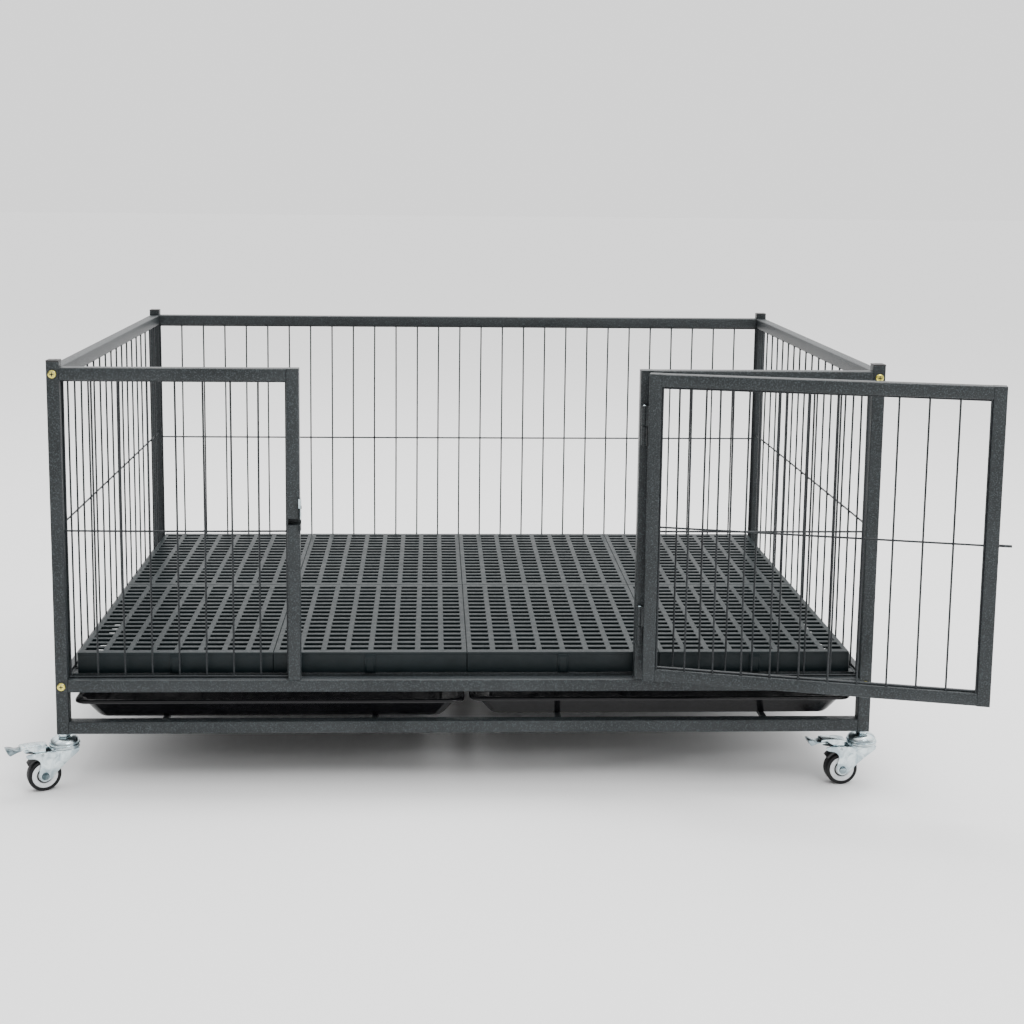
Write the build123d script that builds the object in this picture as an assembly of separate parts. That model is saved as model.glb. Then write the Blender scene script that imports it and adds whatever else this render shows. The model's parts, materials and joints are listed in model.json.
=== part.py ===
from build123d import *
import os

# Open-top wire kennel on casters. Millimetres, +Z up, +X to the right, the doorway faces -Y.
# Everything is laid out from the front left corner of the footprint on the ground, and is moved
# to the centre of the whole model's footprint when it is written.

# ---- driving dimensions ----
crate_width = 1245.0
crate_depth = 830.0
tube = 19.0                     # square tube, outside
tube_wall = 1.2
tube_corner = 1.5
caster_height = 85.0            # ground to the bottom of the posts
post_height = 572.0             # corner posts, with their caps
top_rail_top = 561.0            # heights above the bottom of the posts
floor_rail_bottom = 65.5
latch_post_left = 350.5
hinge_post_left = 877.4
wire_radius = 1.5
wire_pitch = 43.0
wire_lap = 0.4                  # how far crossing wires are welded into each other
mesh_inset = 16.0               # mesh plane, from the outer face of the tubes
front_cross_wire = 313.0
side_cross_wire = 322.0
door_cross_wire = 330.0

door_bottom = 93.0
door_top = 560.0
door_gap_hinge = 2.5
door_gap_latch = 3.4
door_open_angle = 166.4
hinge_axis_offset = 5.6         # from the hinge post's left face, to the right
hinge_axis_front = 5.0          # in front of the post's front face
barrel_radius = 4.5
hinge_pin_radius = 2.5
hinge_height = 60.0
hinge_bottoms = (141.0, 449.0)
running_clearance = 0.06
knuckle_gap = 0.3

tongue_height = 330.0
tongue_slot_half = 5.0
keeper_thickness = 1.4
tongue_radius = 2.0
tongue_reach = 18.5
catch_travel = 10.0

panel_width = 298.0
panel_depth = 381.0
panel_height = 32.0
panel_top_skin = 3.5
panel_skirt = 2.5
panel_columns = 4
slot_columns = 8
slot_rows = 17
slot_length = 27.5
slot_pitch_x = 36.3
slot_width = 12.0
slot_pitch_y = 21.3
panel_rest_gap = 0.4

tray_rim_width = 594.0
tray_rim_depth = 776.0
tray_middle_gap = 8.0
tray_rim_top = 51.0
tray_bottom = 19.5
tray_fronts = (3.0, 12.0)       # the left tray stands a little further out than the right one
tray_wall = 2.0
tray_flange = 9.0
tray_side_slope = 23.0          # how far the side walls lean in from rim to bottom
tray_end_slope = 11.0
tray_corner = 18.0
tray_lip = 4.5
runner_width = 9.0
runner_height = 6.0
runner_spread = 320.0

wheel_radius = 25.0
tyre_width = 18.0
hub_radius = 21.3
hub_width = 16.6
axle_radius = 3.0
caster_trail = 32.0
leg_gap = 21.6
leg_thickness = 2.0
housing_radius = 22.5
kingpin_radius = 3.5
caster_angles = {"front_left": 25.0, "front_right": 4.0, "back_left": 20.0, "back_right": -14.0}

bolt_radius = 3.0
bolt_hole_radius = 3.3
bolt_head_radius = 6.2
bolt_head_height = 3.2
cap_socket_radius = 4.0

# ---- levels and places worked out from them ----
base = caster_height
half = tube / 2.0
bore = tube - 2.0 * tube_wall
inner_x0 = tube
inner_x1 = crate_width - tube
inner_y0 = tube
inner_y1 = crate_depth - tube
top_rail_z = base + top_rail_top - half
floor_rail_z = base + floor_rail_bottom + half
floor_level = base + floor_rail_bottom + tube
bottom_rail_z = base + half
latch_post_right = latch_post_left + tube
hinge_post_right = hinge_post_left + tube
hinge_x = hinge_post_left + hinge_axis_offset
hinge_y = -hinge_axis_front
door_x0 = latch_post_right + door_gap_latch
door_x1 = hinge_post_left - door_gap_hinge
tongue_level = base + tongue_height
post_x = {"left": half, "right": crate_width - half}
post_y = {"front": half, "back": crate_depth - half}
bolt_heights = (top_rail_z, floor_rail_z)
cap_thickness = 2.5

parts = {}


def block(x0, x1, y0, y1, z0, z1):
    """A box given by its limits."""
    size = (x1 - x0, y1 - y0, z1 - z0)
    middle = ((x0 + x1) / 2.0, (y0 + y1) / 2.0, (z0 + z1) / 2.0)
    return Pos(*middle) * Box(*size)


def rod_x(x0, x1, y, z, radius):
    """A round bar along X."""
    return Pos((x0 + x1) / 2.0, y, z) * Rot(0, 90, 0) * Cylinder(radius, x1 - x0)


def rod_y(x, y0, y1, z, radius):
    """A round bar along Y."""
    return Pos(x, (y0 + y1) / 2.0, z) * Rot(90, 0, 0) * Cylinder(radius, y1 - y0)


def rod_z(x, y, z0, z1, radius):
    """A round bar along Z."""
    return Pos(x, y, (z0 + z1) / 2.0) * Cylinder(radius, z1 - z0)


def square_tube(length):
    """Square tube with rounded corners along Z, centred on its axis, from 0 to length."""
    outside = RectangleRounded(tube, tube, tube_corner)
    inside = RectangleRounded(bore, bore, tube_corner - tube_wall)
    return extrude(outside - inside, length)


def tube_x(x0, x1, y, z):
    return Pos(x0, y, z) * Rot(0, 90, 0) * square_tube(x1 - x0)


def tube_y(x, y0, y1, z):
    return Pos(x, y0, z) * Rot(-90, 0, 0) * square_tube(y1 - y0)


def tube_z(x, y, z0, z1):
    return Pos(x, y, z0) * square_tube(z1 - z0)


def end_plate(x, y, z):
    """The welded plate that closes a tube's top end, its top at z."""
    return Pos(x, y, z - tube_wall / 2.0) * Box(bore, bore, tube_wall)


def spread(first, last, gaps):
    """Evenly spaced places from first to last."""
    step = (last - first) / gaps
    return [first + step * index for index in range(gaps + 1)]


def wire_mesh_x(x0, x1, y, z0, z1, cross_heights, outward):
    """Welded mesh in an XZ plane: upright wires at y, cross wires on the outward side."""
    first = x0 + wire_radius
    last = x1 - wire_radius
    gaps = round((last - first) / wire_pitch)
    cross_y = y + outward * (2.0 * wire_radius - wire_lap)
    wires = [rod_z(x, y, z0, z1, wire_radius) for x in spread(first, last, gaps)]
    wires += [rod_x(x0, x1, cross_y, z, wire_radius) for z in cross_heights]
    return wires[0].fuse(*wires[1:])


def wire_mesh_y(x, y0, y1, z0, z1, cross_heights, outward):
    """Welded mesh in a YZ plane."""
    first = y0 + wire_radius
    last = y1 - wire_radius
    gaps = round((last - first) / wire_pitch)
    cross_x = x + outward * (2.0 * wire_radius - wire_lap)
    wires = [rod_z(x, y, z0, z1, wire_radius) for y in spread(first, last, gaps)]
    wires += [rod_y(cross_x, y0, y1, z, wire_radius) for z in cross_heights]
    return wires[0].fuse(*wires[1:])


def rounded_block(width, depth, height, radius):
    """A plate with rounded corners, standing on z = 0."""
    return extrude(RectangleRounded(width, depth, radius), height)


# ---- corner posts, their caps, bolts and caster sockets ----
def make_posts():
    for end, y in post_y.items():
        for side, x in post_x.items():
            post = tube_z(x, y, base, base + post_height - cap_thickness)
            for z in bolt_heights:
                post -= rod_y(x, y - tube, y + tube, z, bolt_hole_radius)
            parts[f"{end}_{side}_post"] = post


def make_post_caps():
    caps = []
    plug_depth = 9.0
    for y in post_y.values():
        for x in post_x.values():
            top = base + post_height
            plug = Pos(x, y, top - cap_thickness - plug_depth) * rounded_block(bore, bore, plug_depth, 0.3)
            plate = Pos(x, y, top - cap_thickness) * rounded_block(tube, tube, cap_thickness, tube_corner)
            caps.append(plug + plate - rod_z(x, y, top - 20.0, top + 1.0, cap_socket_radius))
    parts["post_caps"] = Compound(caps)


def make_bolts():
    bolts = []
    nuts = []
    nut_depth = 14.0
    for end, y in post_y.items():
        outward = -1.0 if end == "front" else 1.0
        face = y + outward * half
        inner = y - outward * half
        for x in post_x.values():
            for z in bolt_heights:
                tip = inner - outward * 11.0
                shank = rod_y(x, min(face, tip), max(face, tip), z, bolt_radius)
                dome = Cylinder(bolt_head_radius, bolt_head_height)
                dome = fillet(dome.edges().group_by(Axis.Z)[-1], 2.0)
                recess = Box(1.4, 6.4, 3.0) + Box(6.4, 1.4, 3.0)
                dome -= Pos(0, 0, bolt_head_height / 2.0) * recess
                turn = 90.0 if outward < 0 else -90.0
                head = Pos(x, face + outward * bolt_head_height / 2.0, z) * Rot(turn, 0, 0) * dome
                bolts.append(shank + head)
                low = min(inner, inner - outward * nut_depth)
                nut = Pos(x, low, z) * Rot(-90, 0, 0) * rounded_block(bore, bore, nut_depth, 0.4)
                nuts.append(nut - rod_y(x, low - 1.0, low + nut_depth + 1.0, z, bolt_radius + 0.05))
    parts["corner_bolts"] = Compound(bolts)
    parts["rail_nuts"] = Compound(nuts)


# ---- rails ----
def make_front_rails():
    y = half
    parts["front_left_top_rail"] = tube_x(inner_x0, latch_post_left, y, top_rail_z)
    parts["front_right_top_rail"] = tube_x(hinge_post_right, inner_x1, y, top_rail_z)
    parts["front_floor_rail"] = tube_x(inner_x0, inner_x1, y, floor_rail_z)
    parts["front_bottom_rail"] = tube_x(inner_x0, inner_x1, y, bottom_rail_z)


def make_back_rails():
    y = crate_depth - half
    parts["back_top_rail"] = tube_x(inner_x0, inner_x1, y, top_rail_z)
    parts["back_floor_rail"] = tube_x(inner_x0, inner_x1, y, floor_rail_z)
    parts["back_bottom_rail"] = tube_x(inner_x0, inner_x1, y, bottom_rail_z)


def make_side_frames():
    for side, x in post_x.items():
        rails = [tube_y(x, inner_y0, inner_y1, z) for z in (top_rail_z, floor_rail_z)]
        parts[f"{side}_side_frame"] = Compound(rails)


def make_door_posts():
    top = base + top_rail_top
    y = half
    hinge_post = tube_z(hinge_post_left + half, y, floor_level, top)
    hinge_post += end_plate(hinge_post_left + half, y, top)
    parts["hinge_post"] = hinge_post

    latch_post = tube_z(latch_post_left + half, y, floor_level, top)
    latch_post += end_plate(latch_post_left + half, y, top)
    slot_low = tongue_level - tongue_slot_half
    slot_high = tongue_level + tongue_slot_half
    slot = block(latch_post_left + 1.8, latch_post_right + 1.0, -1.0, 13.0, slot_low, slot_high)
    parts["latch_post"] = latch_post - slot


# ---- meshes ----
def make_meshes():
    low = floor_level
    high = base + top_rail_top - tube
    bottom_wire = low + wire_radius
    top_wire = high - wire_radius
    front_wires = (bottom_wire, base + front_cross_wire, top_wire)
    side_wires = (bottom_wire, base + side_cross_wire, top_wire)
    front_y = mesh_inset
    parts["front_left_mesh"] = wire_mesh_x(inner_x0, latch_post_left, front_y, low, high, front_wires, -1.0)
    parts["front_right_mesh"] = wire_mesh_x(hinge_post_right, inner_x1, front_y, low, high, front_wires, -1.0)
    back_y = crate_depth - mesh_inset
    parts["back_mesh"] = wire_mesh_x(inner_x0, inner_x1, back_y, low, high, front_wires, 1.0)
    parts["left_side_mesh"] = wire_mesh_y(mesh_inset, inner_y0, inner_y1, low, high, side_wires, -1.0)
    right_x = crate_width - mesh_inset
    parts["right_side_mesh"] = wire_mesh_y(right_x, inner_y0, inner_y1, low, high, side_wires, 1.0)


# ---- floor ----
def make_crossbars():
    panel_front = (crate_depth - 2.0 * panel_depth) / 2.0
    rows = (panel_front + half + 1.0, crate_depth / 2.0, crate_depth - panel_front - half - 1.0)
    parts["floor_crossbars"] = Compound([tube_x(inner_x0, inner_x1, y, floor_rail_z) for y in rows])


def make_floor_panel():
    """One slotted plastic panel, centred on its plan, standing on z = 0."""
    shell = rounded_block(panel_width - 0.6, panel_depth - 0.6, panel_height, 3.0)
    hollow_width = panel_width - 0.6 - 2.0 * panel_skirt
    hollow_depth = panel_depth - 0.6 - 2.0 * panel_skirt
    shell -= rounded_block(hollow_width, hollow_depth, panel_height - panel_top_skin, 1.5)
    grid = GridLocations(slot_pitch_x, slot_pitch_y, slot_columns, slot_rows)
    slots = grid * Rectangle(slot_length, slot_width)
    shell -= Pos(0, 0, panel_height - panel_top_skin - 1.0) * extrude(Sketch() + slots, panel_top_skin + 2.0)
    clip_width = 17.0
    clip_height = 29.0
    clip = Box(clip_width, 2.5, clip_height)
    shell += Pos(0, -panel_depth / 2.0 - 0.9, clip_height / 2.0) * clip
    return shell


def make_floor():
    panel = make_floor_panel()
    left = (crate_width - panel_columns * panel_width) / 2.0
    front = (crate_depth - 2.0 * panel_depth) / 2.0
    height = floor_level + panel_rest_gap
    for row, name in enumerate(("floor_panels_front", "floor_panels_back")):
        y = front + panel_depth * (row + 0.5)
        spin = 0.0 if row == 0 else 180.0
        row_panels = []
        for column in range(panel_columns):
            x = left + panel_width * (column + 0.5)
            row_panels.append(Pos(x, y, height) * Rot(0, 0, spin) * panel)
        parts[name] = Compound(row_panels)


# ---- trays and their runners ----
tray_left = (crate_width - 2.0 * tray_rim_width - tray_middle_gap) / 2.0
tray_centres = (tray_left + tray_rim_width / 2.0, crate_width - tray_left - tray_rim_width / 2.0)


def tray_block(inset_top, inset_x, inset_y, z0, z1):
    """A block with leaning sides between two rectangles, centred on its plan."""
    low_width = tray_rim_width - 2.0 * inset_x
    low_depth = tray_rim_depth - 2.0 * inset_y
    high_width = tray_rim_width - 2.0 * inset_top
    high_depth = tray_rim_depth - 2.0 * inset_top
    low = Pos(0, 0, z0) * RectangleRounded(low_width, low_depth, tray_corner)
    high = Pos(0, 0, z1) * RectangleRounded(high_width, high_depth, tray_corner)
    return loft(Sketch() + [low, high])


def make_tray():
    """A tray centred on its plan, its underside at z = 0."""
    depth = tray_rim_top - tray_bottom
    wall = tray_wall
    side = tray_flange + tray_side_slope
    end = tray_flange + tray_end_slope
    outer = tray_block(tray_flange, side, end, 0.0, depth)
    inner = tray_block(tray_flange + wall, side + wall, end + wall, wall, depth)
    rim = Pos(0, 0, depth - wall) * rounded_block(tray_rim_width, tray_rim_depth, wall, tray_corner + wall)
    skirt_low = Pos(0, 0, depth - tray_lip)
    skirt = skirt_low * rounded_block(tray_rim_width, tray_rim_depth, tray_lip, tray_corner + wall)
    inside_width = tray_rim_width - 2.0 * wall
    inside_depth = tray_rim_depth - 2.0 * wall
    skirt_cut = Pos(0, 0, depth - tray_lip - 1.0)
    skirt -= skirt_cut * rounded_block(inside_width, inside_depth, tray_lip + 2.0, tray_corner)
    return outer + rim + skirt - inner


def make_trays():
    tray = make_tray()
    for name, x, front in zip(("tray_left", "tray_right"), tray_centres, tray_fronts):
        parts[name] = Pos(x, front + tray_rim_depth / 2.0, base + tray_bottom) * tray
    top = base + tube
    low = top - runner_height
    runner_half = runner_width / 2.0
    runners = []
    for centre in tray_centres:
        for offset in (-runner_spread / 2.0, runner_spread / 2.0):
            x = centre + offset
            runners.append(block(x - runner_half, x + runner_half, inner_y0, inner_y1, low, top))
    parts["tray_runners"] = Compound(runners)


# ---- door, built closed and then swung open about its hinge ----
def open_door(shape):
    return Pos(hinge_x, hinge_y, 0) * Rot(0, 0, door_open_angle) * Pos(-hinge_x, -hinge_y, 0) * shape


def hinge_levels(bottom):
    middle = bottom + hinge_height / 2.0
    return bottom + base, middle + base, bottom + hinge_height + base


def make_hinges():
    fixed = []
    pins = []
    moving = []
    bore_radius = hinge_pin_radius + running_clearance
    for bottom in hinge_bottoms:
        z0, z1, z2 = hinge_levels(bottom)
        fixed_barrel = rod_z(hinge_x, hinge_y, z0, z1 - knuckle_gap, barrel_radius)
        fixed_pad = block(hinge_x - 3.0, hinge_x + 6.0, hinge_y + 2.0, 0.0, z0, z1 - knuckle_gap)
        pin_end = z2 + 1.5
        fixed.append(fixed_barrel + fixed_pad - rod_z(hinge_x, hinge_y, z0 - 1, z1 + 1, hinge_pin_radius))
        pins.append(rod_z(hinge_x, hinge_y, z0, pin_end, hinge_pin_radius))
        barrel = rod_z(hinge_x, hinge_y, z1, z2, barrel_radius)
        leaf = block(door_x1 - 14.0, hinge_x, -3.4, -0.7, z1, z2)
        weld = block(door_x1 - 14.0, door_x1 - 1.0, -1.0, 0.0, z1, z2)
        moving.append(barrel + leaf + weld - rod_z(hinge_x, hinge_y, z1 - 1, z2 + 1, bore_radius))
    parts["hinge_post_knuckles"] = Compound(fixed)
    parts["hinge_pins"] = Compound(pins)
    parts["door_knuckles"] = open_door(Compound(moving))


def make_door():
    z0 = base + door_bottom
    z1 = base + door_top
    y = half
    stiles = [tube_z(x, y, z0, z1) + end_plate(x, y, z1) for x in (door_x0 + half, door_x1 - half)]
    rails = [tube_x(door_x0 + tube, door_x1 - tube, y, z) for z in (z0 + half, z1 - half)]
    tongue_end = door_x0 + tube_wall + 4.0
    free_stile = stiles[0] - rod_x(door_x0 - 1.0, door_x0 + 3.0, y, tongue_level, tongue_radius)
    parts["door_frame"] = open_door(Compound([free_stile, stiles[1]] + rails))
    tongue = rod_x(door_x0 - tongue_reach, tongue_end, y, tongue_level, tongue_radius)
    parts["latch_tongue"] = open_door(tongue)
    low = z0 + tube
    high = z1 - tube
    cross = (low + wire_radius, base + door_cross_wire, high - wire_radius)
    mesh = wire_mesh_x(door_x0 + tube, door_x1 - tube, mesh_inset, low, high, cross, -1.0)
    parts["door_mesh"] = open_door(mesh)


# ---- latch: a fixed keeper plate, and a sliding plate that drops in front of the tongue ----
def make_latch():
    keeper_right = latch_post_right + keeper_thickness
    catch_left = keeper_right + 0.1
    catch_right = catch_left + 0.8
    rivet_y = 2.5
    rivet_z = tongue_level + 22.0
    plate = block(latch_post_right, keeper_right, -4.0, 15.0, tongue_level - 15.0, tongue_level + 29.0)
    notch_low = tongue_level - 4.0
    notch_high = tongue_level + 4.0
    notch = block(latch_post_right - 1.0, keeper_right + 1.0, -5.0, 12.5, notch_low, notch_high)
    rivet = rod_x(latch_post_right, catch_right + 0.1, rivet_y, rivet_z, 1.4)
    rivet += rod_x(catch_right + 0.1, catch_right + 0.6, rivet_y, rivet_z, 2.6)
    parts["latch_keeper"] = plate - notch + rivet

    low = tongue_level + 5.0
    high = tongue_level + 36.0
    catch = block(catch_left, catch_right, -4.5, 6.5, low, high)
    slot_top = rivet_z + catch_travel + 1.7
    slot_low = rivet_z - 1.5
    slide_slot = block(catch_left - 1.0, catch_right + 1.0, rivet_y - 1.5, rivet_y + 1.5, slot_low, slot_top)
    tab = block(catch_left - 2.5, catch_right, -5.5, -4.4, high - 14.0, high)
    parts["latch_catch"] = catch - slide_slot + tab


# ---- casters ----
def place_caster(end, side, shape):
    return Pos(post_x[side], post_y[end], 0) * Rot(0, 0, caster_angles[f"{end}_{side}"]) * shape


def make_stem():
    """Threaded stem, nut and kingpin on the swivel axis."""
    stem = rod_z(0, 0, base - 1.0, base + 22.0, 5.0)
    nut = Pos(0, 0, base - 5.0) * extrude(RegularPolygon(9.5, 6), 5.0)
    kingpin = rod_z(0, 0, base - 27.0, base - 4.0, kingpin_radius)
    rivet = rod_z(0, 0, base - 30.0, base - 26.0, kingpin_radius + 3.0)
    return stem + nut + kingpin + rivet


def make_fork(braked):
    """Swivel housing and two legs; the wheel trails towards -X."""
    housing_low = base - 22.0
    housing_high = base - 5.6
    housing = rod_z(0, 0, housing_low, housing_high, housing_radius)
    housing = fillet(housing.edges().group_by(Axis.Z)[-1], 7.0)
    ring = Pos(0, 0, base - 14.0) * Torus(housing_radius + 0.6, 1.3)
    crown_half = leg_gap / 2.0 + leg_thickness
    crown = block(-housing_radius, 17.0, -crown_half, crown_half, base - 24.5, housing_low + 0.5)
    horn = -57.0 if braked else -40.0
    leg_outline = [
        (horn, base - 22.5),
        (19.5, base - 22.5),
        (18.0, base - 29.0),
        (-caster_trail + 21.0, wheel_radius + 7.0),
        (-caster_trail + 8.0, wheel_radius - 6.0),
        (-caster_trail - 8.5, wheel_radius - 3.0),
        (-caster_trail - 9.0, wheel_radius + 12.0),
        (-caster_trail - 4.0, wheel_radius + 24.0),
        (horn, base - 28.5),
    ]
    outline = make_face(Polyline(*leg_outline, close=True))
    outline += Pos(-caster_trail, wheel_radius) * Circle(9.6)
    leg = extrude(Plane.XZ * outline, leg_thickness / 2.0, both=True)
    fork = housing + ring + crown
    for side in (-1.0, 1.0):
        fork += Pos(0, side * (leg_gap + leg_thickness) / 2.0, 0) * leg
    fork -= rod_z(0, 0, base - 40.0, base, kingpin_radius + running_clearance)
    fork -= rod_y(-caster_trail, -20.0, 20.0, wheel_radius, axle_radius)
    return fork


def make_axle_bolt():
    reach = leg_gap / 2.0 + leg_thickness
    shank = rod_y(-caster_trail, -reach, reach, wheel_radius, axle_radius)
    head = rod_y(-caster_trail, -reach - 3.0, -reach, wheel_radius, 5.8)
    nut = Pos(-caster_trail, reach, wheel_radius) * Rot(-90, 0, 0) * extrude(RegularPolygon(5.8, 6), 4.0)
    return shank + head + nut


def make_hub():
    profile = [
        (axle_radius + running_clearance, -9.6),
        (8.0, -9.6),
        (9.0, -5.6),
        (12.4, -5.6),
        (13.4, -hub_width / 2.0),
        (hub_radius, -hub_width / 2.0),
        (hub_radius, hub_width / 2.0),
        (13.4, hub_width / 2.0),
        (12.4, 5.6),
        (9.0, 5.6),
        (8.0, 9.6),
        (axle_radius + running_clearance, 9.6),
    ]
    ring = revolve(Plane.XZ * make_face(Polyline(*profile, close=True)), Axis.Z)
    return Pos(-caster_trail, 0, wheel_radius) * Rot(90, 0, 0) * ring


def make_tyre():
    tyre = Cylinder(wheel_radius, tyre_width)
    tyre = fillet(tyre.edges().filter_by(GeomType.CIRCLE), 2.5)
    tyre -= Cylinder(hub_radius, tyre_width + 2.0)
    return Pos(-caster_trail, 0, wheel_radius) * Rot(90, 0, 0) * tyre


pedal_pivot_x = -35.0
pedal_pivot_z = base - 26.0


def make_pedal():
    """Foot pedal over the fork's horn, with its cross pin."""
    top = base - 12.0
    outline = [
        (-88.0, top - 1.0),
        (-70.0, top + 0.5),
        (-46.0, top - 0.5),
        (-27.0, top - 1.0),
        (-27.0, top - 4.0),
        (-46.0, top - 4.0),
        (-69.0, top - 3.0),
        (-82.0, top - 10.0),
    ]
    plate_half = leg_gap / 2.0 - 1.2
    plate = extrude(Plane.XZ * make_face(Polyline(*outline, close=True)), plate_half, both=True)
    cheek_outline = [(-50.0, top - 3.5), (-29.0, top - 3.5), (-30.0, top - 16.2), (-40.0, top - 16.2)]
    cheek = extrude(Plane.XZ * make_face(Polyline(*cheek_outline, close=True)), 0.9, both=True)
    pedal = plate
    for side in (-1.0, 1.0):
        pedal += Pos(0, side * (plate_half - 0.9), 0) * cheek
    reach = leg_gap / 2.0 + leg_thickness + 1.5
    return pedal + rod_y(pedal_pivot_x, -reach, reach, pedal_pivot_z, 2.0)


def make_brake_shoe():
    """Plastic shoe under the pedal, just clear of the tyre."""
    inner = wheel_radius + 2.6
    outer = wheel_radius + 6.4
    ring = Cylinder(outer, 16.0) - Cylinder(inner, 20.0)
    ring = Pos(-caster_trail, 0, wheel_radius) * Rot(90, 0, 0) * ring
    wedge_points = [(-caster_trail, wheel_radius), (-caster_trail - 34.0, wheel_radius + 26.0)]
    wedge_points += [(-caster_trail - 30.0, wheel_radius + 40.0), (-caster_trail - 3.0, wheel_radius + 40.0)]
    wedge = extrude(Plane.XZ * make_face(Polyline(*wedge_points, close=True)), 9.0, both=True)
    return ring & wedge


def make_casters():
    stems = []
    sockets = []
    for end, y in post_y.items():
        for side, x in post_x.items():
            name = f"{end}_{side}_caster"
            braked = end == "front"
            stems.append(Pos(x, y, 0) * make_stem())
            plug = Pos(x, y, base) * rounded_block(bore, bore, 24.0, 0.3)
            sockets.append(plug - rod_z(x, y, base - 1.0, base + 25.0, 5.05))
            fork = make_fork(braked)
            if braked:
                fork -= rod_y(pedal_pivot_x, -20.0, 20.0, pedal_pivot_z, 2.0 + running_clearance)
                parts[f"{name}_pedal"] = place_caster(end, side, make_pedal())
                parts[f"{name}_shoe"] = place_caster(end, side, make_brake_shoe())
            parts[f"{name}_fork"] = place_caster(end, side, fork)
            parts[f"{name}_axle"] = place_caster(end, side, make_axle_bolt())
            parts[f"{name}_hub"] = place_caster(end, side, make_hub())
            parts[f"{name}_tyre"] = place_caster(end, side, make_tyre())
    parts["caster_stems"] = Compound(stems)
    parts["stem_sockets"] = Compound(sockets)


make_posts()
make_post_caps()
make_bolts()
make_front_rails()
make_back_rails()
make_side_frames()
make_door_posts()
make_meshes()
make_crossbars()
make_floor()
make_trays()
make_hinges()
make_door()
make_latch()
make_casters()

# ---- the origin is the centre of the whole footprint, on the ground ----
boxes = [shape.bounding_box() for shape in parts.values()]
centre_x = (min(box.min.X for box in boxes) + max(box.max.X for box in boxes)) / 2.0
centre_y = (min(box.min.Y for box in boxes) + max(box.max.Y for box in boxes)) / 2.0

os.makedirs("parts", exist_ok=True)
for name, shape in parts.items():
    export_step(Pos(-centre_x, -centre_y, 0) * shape, f"parts/{name}.step")
print("nodes", len(parts), "centre", centre_x, centre_y)
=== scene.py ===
import json
import math
import random

import bmesh
import bpy
from mathutils import Matrix, Vector


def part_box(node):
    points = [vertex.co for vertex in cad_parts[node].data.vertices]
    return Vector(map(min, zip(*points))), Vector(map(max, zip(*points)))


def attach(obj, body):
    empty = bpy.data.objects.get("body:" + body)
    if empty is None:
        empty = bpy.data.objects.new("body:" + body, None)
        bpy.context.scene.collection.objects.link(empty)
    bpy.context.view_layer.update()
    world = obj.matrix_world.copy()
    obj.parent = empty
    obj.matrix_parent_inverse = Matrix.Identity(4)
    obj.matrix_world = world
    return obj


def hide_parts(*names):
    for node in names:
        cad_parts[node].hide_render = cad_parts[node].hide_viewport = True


# Wire kennel on casters. The frame gives the places; shapes are laid out in millimetres from the
# front left corner of the crate on the ground, +X right, +Y back, +Z up.
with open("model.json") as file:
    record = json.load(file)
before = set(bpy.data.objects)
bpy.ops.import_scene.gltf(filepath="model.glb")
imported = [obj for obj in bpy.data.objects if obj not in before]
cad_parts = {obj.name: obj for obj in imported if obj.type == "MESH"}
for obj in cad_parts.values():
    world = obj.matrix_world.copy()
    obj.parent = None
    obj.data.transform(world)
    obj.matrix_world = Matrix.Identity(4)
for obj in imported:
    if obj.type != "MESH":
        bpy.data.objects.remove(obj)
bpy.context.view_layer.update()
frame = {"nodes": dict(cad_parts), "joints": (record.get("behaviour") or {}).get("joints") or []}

MM = 0.001
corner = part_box("front_left_post")[0]
origin = Vector((corner.x, corner.y, 0.0))


def limits(node):
    """Lowest and highest corner of a frame node, in layout millimetres."""
    low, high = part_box(node)
    return (low - origin) / MM, (high - origin) / MM


# ---- dimensions ----
crate_width = limits("front_right_post")[1].x
crate_depth = limits("back_left_post")[1].y
base = limits("front_left_post")[0].z
tube = limits("hinge_post")[1].x - limits("hinge_post")[0].x
half = tube / 2.0
top_rail_top = limits("back_top_rail")[1].z
floor_level = limits("front_floor_rail")[1].z
tube_radius = 1.9
wire_radius = 1.5
wire_pitch = 43.0
wire_step = 2.6
latch_left = limits("latch_post")[0].x
latch_right = limits("latch_post")[1].x
hinge_left = limits("hinge_post")[0].x
hinge_right = limits("hinge_post")[1].x
door_left = latch_right + 3.4
door_right = hinge_left - 2.5
door_low = base + 93.0
door_high = base + 560.0
tongue_level = base + 330.0
joints = {joint["name"]: joint for joint in frame["joints"]}
hinge_point = (Vector(joints["door_swing"]["pos_m"]) - origin) / MM
door_angle = math.radians(-joints["door_swing"]["range_deg"][0])
to_hinge = Matrix.Translation((hinge_point.x, hinge_point.y, 0.0))
door_place = to_hinge @ Matrix.Rotation(door_angle, 4, "Z") @ to_hinge.inverted()
corners = {
    "front_left": (half, half),
    "front_right": (crate_width - half, half),
    "back_left": (half, crate_depth - half),
    "back_right": (crate_width - half, crate_depth - half),
}
chance = random.Random(7)


# ---- node helpers ----
def new_group(name, inputs, outputs):
    group = bpy.data.node_groups.new(name, "ShaderNodeTree")
    for label, kind, value in inputs:
        socket = group.interface.new_socket(label, in_out="INPUT", socket_type=kind)
        socket.default_value = value
    for label, kind in outputs:
        group.interface.new_socket(label, in_out="OUTPUT", socket_type=kind)
    start = group.nodes.new("NodeGroupInput")
    end = group.nodes.new("NodeGroupOutput")
    return group, start, end


def noise(tree, vector, scale, detail, roughness=0.5, distortion=0.0):
    node = tree.nodes.new("ShaderNodeTexNoise")
    node.inputs["Scale"].default_value = scale
    node.inputs["Detail"].default_value = detail
    node.inputs["Roughness"].default_value = roughness
    node.inputs["Distortion"].default_value = distortion
    tree.links.new(vector, node.inputs["Vector"])
    return node.outputs["Fac"]


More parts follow.
